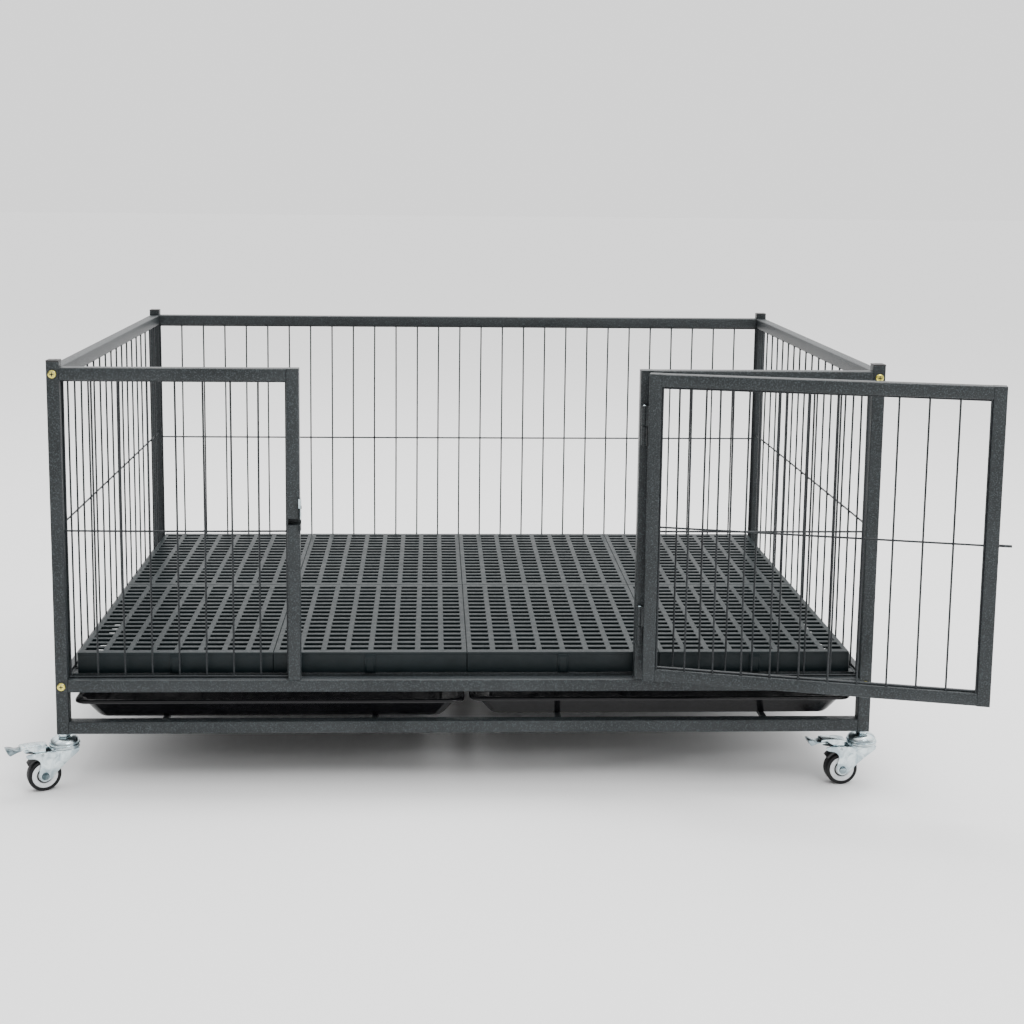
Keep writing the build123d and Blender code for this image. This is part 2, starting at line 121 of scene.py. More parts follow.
def remap(tree, value, low, high, to_low=0.0, to_high=1.0):
    node = tree.nodes.new("ShaderNodeMapRange")
    node.interpolation_type = "SMOOTHSTEP"
    node.inputs["From Min"].default_value = low
    node.inputs["From Max"].default_value = high
    node.inputs["To Min"].default_value = to_low
    node.inputs["To Max"].default_value = to_high
    tree.links.new(value, node.inputs["Value"])
    return node.outputs["Result"]


def calculate(tree, operation, a, b):
    node = tree.nodes.new("ShaderNodeMath")
    node.operation = operation
    for index, value in enumerate((a, b)):
        if isinstance(value, (int, float)):
            node.inputs[index].default_value = value
        else:
            tree.links.new(value, node.inputs[index])
    return node.outputs[0]


def mix_colour(tree, share, a, b, blend="MIX"):
    node = tree.nodes.new("ShaderNodeMix")
    node.data_type = "RGBA"
    node.blend_type = blend
    sockets = [s for s in node.inputs if s.type == "RGBA"]
    factor = [s for s in node.inputs if s.type == "VALUE"][0]
    for socket, value in ((factor, share), (sockets[0], a), (sockets[1], b)):
        if isinstance(value, (tuple, float, int)):
            socket.default_value = value
        else:
            tree.links.new(value, socket)
    return [s for s in node.outputs if s.type == "RGBA"][0]


def make_hammertone_group():
    """Textured powder coat: pebbles a few millimetres across, paler on their tops as a painted highlight and
    darkened in the pits between them as painted shade.
    """
    inputs = [
        ("Coordinates", "NodeSocketVector", (0.0, 0.0, 0.0)),
        ("Colour", "NodeSocketColor", (0.06, 0.07, 0.075, 1.0)),
        ("Painted Highlight Colour", "NodeSocketColor", (0.16, 0.18, 0.19, 1.0)),
        ("Roughness", "NodeSocketFloat", 0.4),
    ]
    outputs = [
        ("Colour", "NodeSocketColor"),
        ("Roughness", "NodeSocketFloat"),
        ("Height", "NodeSocketFloat"),
    ]
    group, start, end = new_group("hammertone", inputs, outputs)
    where = start.outputs["Coordinates"]
    pebbles = noise(group, where, 560.0, 2.0, 0.6, 0.2)
    fine = noise(group, where, 1400.0, 1.0)
    patches = noise(group, where, 9.0, 3.0)
    # The paler colour on the high pebbles is a painted highlight.
    painted_pebble_highlight = remap(group, pebbles, 0.50, 0.68)
    painted_pit_shade = remap(group, pebbles, 0.32, 0.48, 1.0, 0.0)
    colour = mix_colour(group, painted_pebble_highlight, start.outputs["Colour"], start.outputs["Painted Highlight Colour"])
    # Painted shade: the low pits between pebbles are darkened towards near black.
    colour = mix_colour(group, calculate(group, "MULTIPLY", painted_pit_shade, 0.55), colour, (0.006, 0.007, 0.008, 1.0))
    tone = remap(group, patches, 0.3, 0.7, 0.0, 0.2)
    colour = mix_colour(group, tone, colour, (0.05, 0.058, 0.062, 1.0))
    rough = calculate(group, "ADD", start.outputs["Roughness"], remap(group, fine, 0.2, 0.8, -0.05, 0.09))
    height = calculate(group, "ADD", pebbles, calculate(group, "MULTIPLY", fine, 0.15))
    group.links.new(colour, end.inputs["Colour"])
    group.links.new(rough, end.inputs["Roughness"])
    group.links.new(height, end.inputs["Height"])
    return group


def make_moulded_group():
    """Moulded plastic or rubber: fine grain, flow patches and a little dust in the dull parts."""
    inputs = [
        ("Coordinates", "NodeSocketVector", (0.0, 0.0, 0.0)),
        ("Colour", "NodeSocketColor", (0.05, 0.05, 0.05, 1.0)),
        ("Dust Colour", "NodeSocketColor", (0.2, 0.2, 0.2, 1.0)),
        ("Dust", "NodeSocketFloat", 0.2),
        ("Roughness", "NodeSocketFloat", 0.5),
        ("Grain Scale", "NodeSocketFloat", 900.0),
    ]
    outputs = [
        ("Colour", "NodeSocketColor"),
        ("Roughness", "NodeSocketFloat"),
        ("Height", "NodeSocketFloat"),
    ]
    group, start, end = new_group("moulded", inputs, outputs)
    where = start.outputs["Coordinates"]
    grain = noise(group, where, 900.0, 2.0)
    grain_node = grain.node
    group.links.new(start.outputs["Grain Scale"], grain_node.inputs["Scale"])
    patches = noise(group, where, 14.0, 4.0, 0.6)
    streaks = noise(group, where, 60.0, 3.0, 0.6, 1.5)
    dusty = calculate(group, "MULTIPLY", remap(group, patches, 0.4, 0.75), start.outputs["Dust"])
    dusty = calculate(group, "MULTIPLY", dusty, remap(group, streaks, 0.3, 0.7, 0.5, 1.0))
    colour = mix_colour(group, dusty, start.outputs["Colour"], start.outputs["Dust Colour"])
    dim = remap(group, grain, 0.25, 0.75, 0.82, 1.12)
    combine = group.nodes.new("ShaderNodeCombineColor")
    for channel in combine.inputs:
        group.links.new(dim, channel)
    colour = mix_colour(group, 1.0, colour, combine.outputs[0], "MULTIPLY")
    rough = calculate(group, "ADD", start.outputs["Roughness"], remap(group, streaks, 0.3, 0.7, -0.05, 0.07))
    group.links.new(colour, end.inputs["Colour"])
    group.links.new(rough, end.inputs["Roughness"])
    group.links.new(grain, end.inputs["Height"])
    return group


def make_plated_group():
    """Plated metal: cloudy tint, fine rolling lines and small dull spots."""
    inputs = [
        ("Coordinates", "NodeSocketVector", (0.0, 0.0, 0.0)),
        ("Colour", "NodeSocketColor", (0.7, 0.75, 0.78, 1.0)),
        ("Tint", "NodeSocketColor", (0.6, 0.66, 0.72, 1.0)),
        ("Roughness", "NodeSocketFloat", 0.25),
    ]
    outputs = [
        ("Colour", "NodeSocketColor"),
        ("Roughness", "NodeSocketFloat"),
        ("Height", "NodeSocketFloat"),
    ]
    group, start, end = new_group("plated", inputs, outputs)
    where = start.outputs["Coordinates"]
    clouds = noise(group, where, 70.0, 3.0, 0.55, 0.8)
    fine = noise(group, where, 1300.0, 2.0)
    spots = noise(group, where, 300.0, 1.0)
    cloudy = remap(group, clouds, 0.35, 0.68)
    colour = mix_colour(group, cloudy, start.outputs["Colour"], start.outputs["Tint"])
    dull = remap(group, spots, 0.62, 0.75, 0.0, 0.35)
    colour = mix_colour(group, dull, colour, (0.42, 0.44, 0.46, 1.0))
    rough = calculate(group, "ADD", start.outputs["Roughness"], remap(group, clouds, 0.3, 0.7, -0.04, 0.1))
    group.links.new(colour, end.inputs["Colour"])
    group.links.new(rough, end.inputs["Roughness"])
    group.links.new(fine, end.inputs["Height"])
    return group


groups = {
    "hammertone": make_hammertone_group(),
    "moulded": make_moulded_group(),
    "plated": make_plated_group(),
}


def make_material(name, effect, values, bump, bump_depth, shader_values):
    material = bpy.data.materials.new(name)
    material.use_nodes = True
    tree = material.node_tree
    shader = tree.nodes["Principled BSDF"]
    for label, value in shader_values.items():
        shader.inputs[label].default_value = value
    coordinates = tree.nodes.new("ShaderNodeTexCoord")
    effects = tree.nodes.new("ShaderNodeGroup")
    effects.node_tree = groups[effect]
    for label, value in values.items():
        effects.inputs[label].default_value = value
    tree.links.new(coordinates.outputs["Object"], effects.inputs["Coordinates"])
    tree.links.new(effects.outputs["Colour"], shader.inputs["Base Color"])
    tree.links.new(effects.outputs["Roughness"], shader.inputs["Roughness"])
    relief = tree.nodes.new("ShaderNodeBump")
    relief.inputs["Strength"].default_value = bump
    relief.inputs["Distance"].default_value = bump_depth
    tree.links.new(effects.outputs["Height"], relief.inputs["Height"])
    tree.links.new(relief.outputs["Normal"], shader.inputs["Normal"])
    return material


materials = {
    # In each coat the paler pebble-top colour is a painted highlight.
    "frame_coat": make_material(
        "frame_coat",
        "hammertone",
        {
            "Colour": (0.009, 0.0122, 0.0135, 1.0),
            "Painted Highlight Colour": (0.043, 0.053, 0.058, 1.0),
            "Roughness": 0.36,
        },
        0.9,
        0.0009,
        {"Specular IOR Level": 0.34},
    ),
    "wire_coat": make_material(
        "wire_coat",
        "hammertone",
        {
            "Colour": (0.012, 0.014, 0.016, 1.0),
            "Painted Highlight Colour": (0.03, 0.034, 0.037, 1.0),
            "Roughness": 0.36,
        },
        0.25,
        0.0003,
        {"Specular IOR Level": 0.2},
    ),
    "runner_coat": make_material(
        "runner_coat",
        "hammertone",
        {
            "Colour": (0.008, 0.009, 0.010, 1.0),
            "Painted Highlight Colour": (0.02, 0.022, 0.024, 1.0),
            "Roughness": 0.4,
        },
        0.3,
        0.0004,
        {"Specular IOR Level": 0.5},
    ),
    "floor_plastic": make_material(
        "floor_plastic",
        "moulded",
        {
            "Colour": (0.0035, 0.008, 0.0095, 1.0),
            "Dust Colour": (0.014, 0.024, 0.028, 1.0),
            "Dust": 0.35,
            "Roughness": 0.38,
        },
        0.2,
        0.0003,
        {"Specular IOR Level": 0.22},
    ),
    "tray_plastic": make_material(
        "tray_plastic",
        "moulded",
        {
            "Colour": (0.004, 0.004, 0.005, 1.0),
            "Dust Colour": (0.02, 0.02, 0.021, 1.0),
            "Dust": 0.25,
            "Roughness": 0.16,
        },
        0.08,
        0.0002,
        {"Specular IOR Level": 0.3},
    ),
    "black_plastic": make_material(
        "black_plastic",
        "moulded",
        {
            "Colour": (0.008, 0.008, 0.009, 1.0),
            "Dust Colour": (0.04, 0.04, 0.04, 1.0),
            "Dust": 0.3,
            "Roughness": 0.4,
        },
        0.2,
        0.0002,
        {},
    ),
    "hub_plastic": make_material(
        "hub_plastic",
        "moulded",
        {
            "Colour": (0.74, 0.76, 0.78, 1.0),
            "Dust Colour": (0.52, 0.54, 0.55, 1.0),
            "Dust": 0.35,
            "Roughness": 0.35,
        },
        0.08,
        0.0002,
        {},
    ),
    "tyre_rubber": make_material(
        "tyre_rubber",
        "moulded",
        {
            "Colour": (0.006, 0.006, 0.007, 1.0),
            "Dust Colour": (0.035, 0.034, 0.033, 1.0),
            "Dust": 0.4,
            "Roughness": 0.5,
        },
        0.25,
        0.0003,
        {"Specular IOR Level": 0.25},
    ),
    "zinc_plate": make_material(
        "zinc_plate",
        "plated",
        {"Colour": (0.70, 0.79, 0.81, 1.0), "Tint": (0.36, 0.45, 0.49, 1.0), "Roughness": 0.17},
        0.05,
        0.0002,
        {"Metallic": 1.0},
    ),
    # A darker copy of the zinc plate: painted shade and dark reflection for the axle bolts and brake tips.
    "zinc_with_painted_shade": make_material(
        "zinc_with_painted_shade",
        "plated",
        {"Colour": (0.30, 0.37, 0.40, 1.0), "Tint": (0.07, 0.10, 0.11, 1.0), "Roughness": 0.17},
        0.05,
        0.0002,
        {"Metallic": 1.0},
    ),
    "brass_screws": make_material(
        "brass_screws",
        "plated",
        {"Colour": (0.80, 0.70, 0.13, 1.0), "Tint": (0.60, 0.54, 0.16, 1.0), "Roughness": 0.26},
        0.05,
        0.0002,
        {"Metallic": 1.0},
    ),
}


# ---- shape helpers; every shape is laid out in millimetres ----
def face_outward(bm):
    """Turns the faces of every separate closed shape so that they look outward."""
    bmesh.ops.recalc_face_normals(bm, faces=bm.faces)
    left = set(bm.faces)
    while left:
        start = left.pop()
        shape = [start]
        for face in shape:
            for edge in face.edges:
                for neighbour in edge.link_faces:
                    if neighbour in left:
                        left.remove(neighbour)
                        shape.append(neighbour)
        middle = start.calc_center_median()
        volume = 0.0
        for face in shape:
            points = [vert.co - middle for vert in face.verts]
            for second, third in zip(points[1:], points[2:]):
                volume += points[0].dot(second.cross(third))
        if volume < 0.0:
            bmesh.ops.reverse_faces(bm, faces=shape)


def finish_piece(bm, name, body, slot, nodes=(), place=None, sharp=32.0, finish=None):
    """Turns a built shape into an object that rides on a body and stands for some frame nodes."""
    if place is not None:
        bm.transform(place)
    face_outward(bm)
    bm.transform(Matrix.Translation(origin) @ Matrix.Scale(MM, 4))
    mesh = bpy.data.meshes.new(name)
    bm.to_mesh(mesh)
    bm.free()
    mesh.shade_smooth()
    mesh.set_sharp_from_angle(angle=math.radians(sharp))
    mesh.materials.append(materials[finish or slot])
    piece = bpy.data.objects.new(name, mesh)
    bpy.context.scene.collection.objects.link(piece)
    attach(piece, body)
    if nodes:
        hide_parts(*nodes)
    return piece


def bevel(bm, edges, width, segments=2):
    bmesh.ops.bevel(
        bm,
        geom=list(edges),
        offset=width,
        segments=segments,
        profile=0.5,
        affect="EDGES",
        clamp_overlap=True,
        material=-1,
    )


def edges_of(verts):
    return {edge for vert in verts for edge in vert.link_edges}


def add_box(bm, low, high, width=0.0, segments=2, along=None):
    """A box; width rounds every edge, or only the edges that run along one axis."""
    low = Vector(low)
    high = Vector(high)
    place = Matrix.Translation((low + high) / 2.0) @ Matrix.Diagonal((*(high - low), 1.0))
    verts = bmesh.ops.create_cube(bm, size=1.0, matrix=place)["verts"]
    edges = edges_of(verts)
    if along is not None:
        edges = {e for e in edges if abs((e.verts[0].co - e.verts[1].co).normalized()[along]) > 0.9}
    if width > 0.0:
        bevel(bm, edges, width, segments)


def add_rod(bm, start, end, radius, sides=16, width=0.0):
    start = Vector(start)
    end = Vector(end)
    turn = (end - start).to_track_quat("Z", "Y").to_matrix().to_4x4()
    place = Matrix.Translation((start + end) / 2.0) @ turn
    made = bmesh.ops.create_cone(
        bm,
        cap_ends=True,
        segments=sides,
        radius1=radius,
        radius2=radius,
        depth=(end - start).length,
        matrix=place,
    )
    if width > 0.0:
        rims = [e for e in edges_of(made["verts"]) if any(len(f.verts) > 4 for f in e.link_faces)]
        bevel(bm, rims, width, 2)


def add_lathe(bm, profile, sides, place=Matrix.Identity(4)):
    """A closed outline of (radius, height) points turned about Z, then placed."""
    verts = [bm.verts.new((radius, 0.0, height)) for radius, height in profile]
    edges = [bm.edges.new((verts[i], verts[(i + 1) % len(verts)])) for i in range(len(verts))]
    before = set(bm.verts) - set(verts)
    bmesh.ops.spin(
        bm,
        geom=verts + edges,
        axis=(0.0, 0.0, 1.0),
        cent=(0.0, 0.0, 0.0),
        steps=sides,
        angle=math.tau,
        use_merge=True,
    )
    made = [v for v in bm.verts if v not in before]
    bmesh.ops.remove_doubles(bm, verts=made, dist=0.0005)
    made = [v for v in bm.verts if v not in before]
    bmesh.ops.transform(bm, matrix=place, verts=made)


def add_plate(bm, outline, thickness, place, width=0.4):
    """An outline of (x, y) points raised to a thickness along Z, its rims rounded, then placed."""
    verts = [bm.verts.new((x, y, 0.0)) for x, y in outline]
    face = bm.faces.new(verts)
    raised = bmesh.ops.extrude_face_region(bm, geom=[face])["geom"]
    top = [v for v in raised if isinstance(v, bmesh.types.BMVert)]
    bmesh.ops.translate(bm, verts=top, vec=(0.0, 0.0, thickness))
    made = set(verts) | set(top)
    rims = [e for e in edges_of(made) if abs(e.verts[0].co.z - e.verts[1].co.z) < 0.001]
    before = set(bm.verts) - made
    if width > 0.0:
        bevel(bm, rims, width, 2)
    bmesh.ops.transform(bm, matrix=place, verts=[v for v in bm.verts if v not in before])


def add_wire(bm, points, radius=wire_radius, sides=10):
    """A round wire along a nearly straight run of points."""
    points = [Vector(p) for p in points]
    turn = (points[-1] - points[0]).to_track_quat("Z", "Y").to_matrix().to_4x4()
    ring = bmesh.ops.create_circle(
        bm,
        cap_ends=False,
        segments=sides,
        radius=radius,
        matrix=Matrix.Translation(points[0]) @ turn,
    )["verts"]
    edges = list(edges_of(ring))
    bmesh.ops.edgeloop_fill(bm, edges=edges)
    for previous, point in zip(points, points[1:]):
        made = bmesh.ops.extrude_edge_only(bm, edges=edges)["geom"]
        verts = [v for v in made if isinstance(v, bmesh.types.BMVert)]
        edges = [e for e in made if isinstance(e, bmesh.types.BMEdge)]
        bmesh.ops.translate(bm, verts=verts, vec=point - previous)
    bmesh.ops.edgeloop_fill(bm, edges=edges)


def add_blob(bm, place, size):
    """A small weld blob."""
    turn = Matrix.Rotation(chance.uniform(0.0, 3.0), 4, "Z")
    matrix = Matrix.Translation(place) @ turn @ Matrix.Diagonal((*size, 1.0))
    bmesh.ops.create_uvsphere(bm, u_segments=8, v_segments=5, radius=1.0, matrix=matrix)


def add_bead(bm, start, end, radius):
    """A weld seam: overlapping blobs along a line."""
    start = Vector(start)
    end = Vector(end)
    count = max(2, round((end - start).length / (radius * 1.3)))
    for index in range(count + 1):
        size = radius * chance.uniform(0.85, 1.1)
        add_blob(bm, start.lerp(end, index / count), (size, size, size))


def bowed(start, end, sag):
    """Points from start to end of a wire that isn't quite straight."""
    start = Vector(start)
    end = Vector(end)
    shift = Vector((chance.uniform(-sag, sag), chance.uniform(-sag, sag), 0.0))
    if abs((end - start).normalized().z) < 0.5:
        shift = Vector((0.0, 0.0, chance.uniform(-sag, sag)))
    count = 8
    return [start.lerp(end, i / count) + shift * math.sin(math.pi * i / count) for i in range(count + 1)]


def smooth_outline(points, steps=6):
    """A closed curve through the points."""
    result = []
    count = len(points)
    for index in range(count):
        p0, p1, p2, p3 = (Vector(points[(index + k - 1) % count]) for k in range(4))
        for step in range(steps):
            t = step / steps
            result.append(
                0.5 * (2.0 * p1 + (p2 - p0) * t + (2.0 * p0 - 5.0 * p1 + 4.0 * p2 - p3) * t * t
                       + (3.0 * p1 - p0 - 3.0 * p2 + p3) * t * t * t)
            )
    return [(p.x, p.y) for p in result]


# ---- tubes ----
def build_tube(name, low, high, body="crate_frame", nodes=(), place=None):
    size = Vector(high) - Vector(low)
    along = max(range(3), key=lambda axis: size[axis])
    bm = bmesh.new()
    add_box(bm, low, high, tube_radius, 3, along)
    return finish_piece(bm, name, body, "frame_coat", nodes, place, sharp=50.0)


def build_frame_tubes():
    straight = [
        "front_left_post",
        "front_right_post",
        "back_left_post",
        "back_right_post",
        "front_left_top_rail",
        "front_right_top_rail",
        "front_floor_rail",
        "front_bottom_rail",
        "back_top_rail",
        "back_floor_rail",
        "back_bottom_rail",
        "hinge_post",
    ]
    for node in straight:
        low, high = limits(node)
        build_tube(node + "_tube", low, high, nodes=(node,))
    for side in ("left", "right"):
        low, high = limits(side + "_side_frame")
        levels = (("top", high.z - tube), ("floor", low.z))
        for label, z in levels:
            nodes = (side + "_side_frame",) if label == "top" else ()
            start = (low.x, low.y, z)
            end = (high.x, high.y, z + tube)
            build_tube(f"{side}_{label}_side_rail", start, end, nodes=nodes)
    bm = bmesh.new()
    low, high = limits("floor_crossbars")
    centre = (low.y + high.y) / 2.0
    for y in (low.y, centre - half, high.y - tube):
        add_box(bm, (low.x, y, low.z), (high.x, y + tube, high.z), tube_radius, 3, 0)
    finish_piece(bm, "crossbar_tubes", "crate_frame", "frame_coat", ("floor_crossbars",), sharp=50.0)
    bm = bmesh.new()
    low, high = limits("tray_runners")
    for x in (low.x, low.x + 320.0, high.x - 329.0, high.x - 9.0):
        add_box(bm, (x, low.y, low.z), (x + 9.0, high.y, high.z), 1.0, 2, 1)
    finish_piece(bm, "tray_runner_bars", "crate_frame", "runner_coat", ("tray_runners",))


def build_latch_post():
    """The latch post: a tube whose front face and inner side are cut by the tongue's slot."""
    low, high = limits("latch_post")
    z0 = tongue_level - 5.0
    z1 = tongue_level + 5.0
    bm = bmesh.new()
    add_box(bm, low, (high.x, high.y, z0), tube_radius, 3, 2)
    add_box(bm, (low.x, low.y, z1), high, tube_radius, 3, 2)
    add_box(bm, (low.x, 13.0, z0), (high.x, high.y, z1))
    add_box(bm, (low.x, low.y + 1.0, z0), (low.x + 1.8, 13.0, z1))
    finish_piece(bm, "latch_post_tube", "crate_frame", "frame_coat", ("latch_post",), sharp=50.0)


def build_caps():
    bm = bmesh.new()
    top = limits("post_caps")[1].z
    for x, y in corners.values():
        add_box(bm, (x - half, y - half, top - 2.5), (x + half, y + half, top), 0.8, 2)
        profile = [(4.0, top - 0.3), (5.4, top - 0.3), (5.4, top + 0.0), (4.4, top + 0.0)]
        add_lathe(bm, profile, 20, Matrix.Translation((x, y, 0.0)))
        add_rod(bm, (x, y, top - 2.0), (x, y, top - 0.1), 3.9, 20)
    finish_piece(bm, "post_cap_plugs", "crate_frame", "black_plastic", ("post_caps",))


# ---- wire meshes ----
def upright_places(first, last):
    first += wire_radius
    last -= wire_radius
    gaps = round((last - first) / wire_pitch)
    return [first + (last - first) * index / gaps for index in range(gaps + 1)]


def build_mesh(name, node, along, low, high, upright, cross, middle, body="crate_frame", place=None):
    """Welded wires between two limits; along is 0 for a front or back mesh and 1 for a side."""
    def spot(run, across, z):
        return (run, across, z) if along == 0 else (across, run, z)

    bm = bmesh.new()
    levels = (low[2] + wire_radius, middle, high[2] - wire_radius)
    for run in upright_places(low[along], high[along]):
        start = spot(run, upright, low[2])
        end = spot(run, upright, high[2])
        add_wire(bm, bowed(start, end, 0.7))
        for level in levels:
            size = chance.uniform(1.5, 2.0)
            add_blob(bm, spot(run, (upright + cross) / 2.0, level), (size, size, size))
        for z in (low[2] + 0.8, high[2] - 0.8):
            size = chance.uniform(1.9, 2.5)
            add_blob(bm, spot(run, upright, z), (size, size, 1.3))
    for level in levels:
        add_wire(bm, bowed(spot(low[along], cross, level), spot(high[along], cross, level), 0.6))
        for run in (low[along] + 0.6, high[along] - 0.6):
            add_blob(bm, spot(run, cross, level), (2.0, 2.0, 2.0))
    finish_piece(bm, name, body, "wire_coat", (node,), place, sharp=60.0)


def build_meshes():
    front = base + 313.0
    side = base + 322.0
    for node, sign in (("front_left_mesh", -1.0), ("front_right_mesh", -1.0), ("back_mesh", 1.0)):
        low, high = limits(node)
        upright = high.y - wire_radius if sign < 0 else low.y + wire_radius
        build_mesh(node + "_wires", node, 0, low, high, upright, upright + sign * wire_step, front)
    for node, sign in (("left_side_mesh", -1.0), ("right_side_mesh", 1.0)):
        low, high = limits(node)
        upright = high.x - wire_radius if sign < 0 else low.x + wire_radius
        build_mesh(node + "_wires", node, 1, low, high, upright, upright + sign * wire_step, side)
    low = (door_left + tube, 0.0, door_low + tube)
    high = (door_right - tube, 0.0, door_high - tube)
    upright = 16.0
    crossing = upright - wire_step
    build_mesh("door_wires", "door_mesh", 0, low, high, upright, crossing, tongue_level, "door", door_place)


# ---- door ----
def build_door():
    bm = bmesh.new()
    for x in (door_left, door_right - tube):
        add_box(bm, (x, 0.0, door_low), (x + tube, tube, door_high), tube_radius, 3, 2)
    for z in (door_low, door_high - tube):
        start = (door_left + tube - 0.4, 0.0, z)
        end = (door_right - tube + 0.4, tube, z + tube)
        add_box(bm, start, end, tube_radius, 3, 0)
    for x in (door_left + tube, door_right - tube):
        for z in (door_low + tube, door_high - tube):
            add_bead(bm, (x, 3.0, z), (x, tube - 3.0, z), 1.3)
    finish_piece(bm, "door_frame_tubes", "door", "frame_coat", ("door_frame",), door_place, sharp=50.0)
    bm = bmesh.new()
    add_rod(bm, (door_left - 18.5, half, tongue_level), (door_left + 3.0, half, tongue_level), 2.0, 16, 0.5)
    add_lathe(
        bm,
        [(1.6, -0.2), (3.4, -0.2), (3.0, 0.7), (2.2, 1.3), (1.6, 1.4)],
        16,
        Matrix.Translation((door_left, half, tongue_level)) @ Matrix.Rotation(-math.pi / 2.0, 4, "Y"),
    )
    finish_piece(bm, "latch_tongue_rod", "door", "frame_coat", ("latch_tongue",), door_place)


def build_hinges():
    fixed = bmesh.new()
    pins = bmesh.new()
    moving = bmesh.new()
    x, y = hinge_point.x, hinge_point.y
    for bottom in (base + 141.0, base + 449.0):
        middle = bottom + 30.0
        top = bottom + 60.0
        for bm, z0, z1 in ((fixed, bottom, middle - 0.3), (moving, middle, top)):
            profile = [(2.56, z0), (3.7, z0), (4.5, z0 + 0.8), (4.5, z1 - 0.8), (3.7, z1), (2.56, z1)]
            add_lathe(bm, profile, 24, Matrix.Translation((x, y, 0.0)))
        add_box(fixed, (x - 2.0, y + 2.5, bottom + 0.5), (x + 5.5, 0.3, middle - 0.8), 0.4)
        for z in (bottom + 3.0, bottom + 26.5):
            add_bead(fixed, (x + 4.4, -0.8, z - 2.0), (x + 4.4, -0.8, z + 2.0), 1.1)
        profile = [(0.01, top + 1.5), (1.8, top + 1.4), (2.5, top + 0.9), (2.5, bottom), (0.01, bottom)]
        add_lathe(pins, profile, 20, Matrix.Translation((x, y, 0.0)))
        add_box(moving, (door_right - 14.0, -3.4, middle), (x - 2.6, -0.7, top), 0.5)
        add_box(moving, (door_right - 14.0, -1.0, middle), (door_right - 1.0, 0.0, top))
        add_bead(moving, (door_right - 14.0, -1.0, middle + 3.0), (door_right - 14.0, -1.0, top - 3.0), 1.2)
    finish_piece(fixed, "hinge_post_barrels", "crate_frame", "frame_coat", ("hinge_post_knuckles",))
    finish_piece(pins, "hinge_pin_rods", "crate_frame", "zinc_plate", ("hinge_pins",))
    finish_piece(moving, "door_hinge_leaves", "door", "frame_coat", ("door_knuckles",), door_place)


def build_weld_seams():
    """Seams where the rails meet the door posts and the floor rail, and tacks at the corners."""
    bm = bmesh.new()
    top = top_rail_top - tube
    for x in (latch_left, hinge_right):
        add_bead(bm, (x, 2.5, top), (x, tube - 2.5, top), 1.2)
        add_bead(bm, (x, tube - 0.3, top + 2.0), (x, tube - 0.3, top_rail_top - 2.0), 1.0)
    for x in (latch_left, latch_right, hinge_left, hinge_right):
        add_bead(bm, (x, 2.5, floor_level), (x, tube - 2.5, floor_level), 1.3)
    for x in (tube, crate_width - tube):
        for level in (base, floor_level - tube, top_rail_top - tube):
            for z in (level + 2.5, level + tube - 2.5):
                add_blob(bm, (x, tube - 0.6, z), (1.2, 1.2, 1.6))
                add_blob(bm, (x, crate_depth - tube + 0.6, z), (1.2, 1.2, 1.6))
    finish_piece(bm, "weld_seams", "crate_frame", "frame_coat", sharp=60.0)


# ---- floor panels ----
def add_panel(bm, centre_x, centre_y, low_z, spin):
    """One slotted panel with a skirt, underside ribs and a clip tab on its front edge."""
    width = 297.4
    depth = 380.4
    height = 32.0
    skin = 3.5
    start = set(bm.verts)
    xs = [-width / 2.0]
    for column in range(8):
        middle = (column - 3.5) * 36.3
        xs += [middle - 13.75, middle + 13.75]
    xs.append(width / 2.0)
    ys = [-depth / 2.0]
    for row in range(17):
        middle = (row - 8.0) * 21.3
        ys += [middle - 6.0, middle + 6.0]
    ys.append(depth / 2.0)
    grid = [[bm.verts.new((x, y, height)) for x in xs] for y in ys]
    faces = []
    for j in range(len(ys) - 1):
        for i in range(len(xs) - 1):
            if i % 2 == 1 and j % 2 == 1:
                continue
            faces.append(bm.faces.new((grid[j][i], grid[j][i + 1], grid[j + 1][i + 1], grid[j + 1][i])))
    rim = {e for f in faces for e in f.edges if len(e.link_faces) == 1}
    raised = bmesh.ops.extrude_face_region(bm, geom=faces)["geom"]
    bottom = [v for v in raised if isinstance(v, bmesh.types.BMVert)]
    bmesh.ops.translate(bm, verts=bottom, vec=(0.0, 0.0, -skin))
    bevel(bm, [e for e in rim if e.is_valid], 0.7, 1)
    x1 = width / 2.0
    y1 = depth / 2.0
    wall = 2.5
    lip = height - skin
    add_box(bm, (-x1, -y1, 0.0), (x1, -y1 + wall, lip), 0.5, 1)
    add_box(bm, (-x1, y1 - wall, 0.0), (x1, y1, lip), 0.5, 1)
    add_box(bm, (-x1, -y1 + wall, 0.0), (-x1 + wall, y1 - wall, lip), 0.5, 1)
    add_box(bm, (x1 - wall, -y1 + wall, 0.0), (x1, y1 - wall, lip), 0.5, 1)
    for column in range(7):
        x = (column - 3.0) * 36.3
        add_box(bm, (x - 1.2, -y1 + wall, lip - 14.0), (x + 1.2, y1 - wall, lip + 0.5))
    for row in (-5.0, 0.0, 5.0):
        y = row * 21.3 + 10.65
        add_box(bm, (-x1 + wall, y - 1.2, lip - 14.0), (x1 - wall, y + 1.2, lip + 0.5))
    add_box(bm, (-8.5, -y1 - 1.9, 0.0), (8.5, -y1 + 0.5, 29.0), 0.8, 2)
    add_box(bm, (-5.5, -y1 - 2.3, 2.0), (5.5, -y1 - 1.0, 24.0), 0.5, 1)
    made = [v for v in bm.verts if v not in start]
    place = Matrix.Translation((centre_x, centre_y, low_z)) @ Matrix.Rotation(spin, 4, "Z")
    bmesh.ops.transform(bm, matrix=place, verts=made)


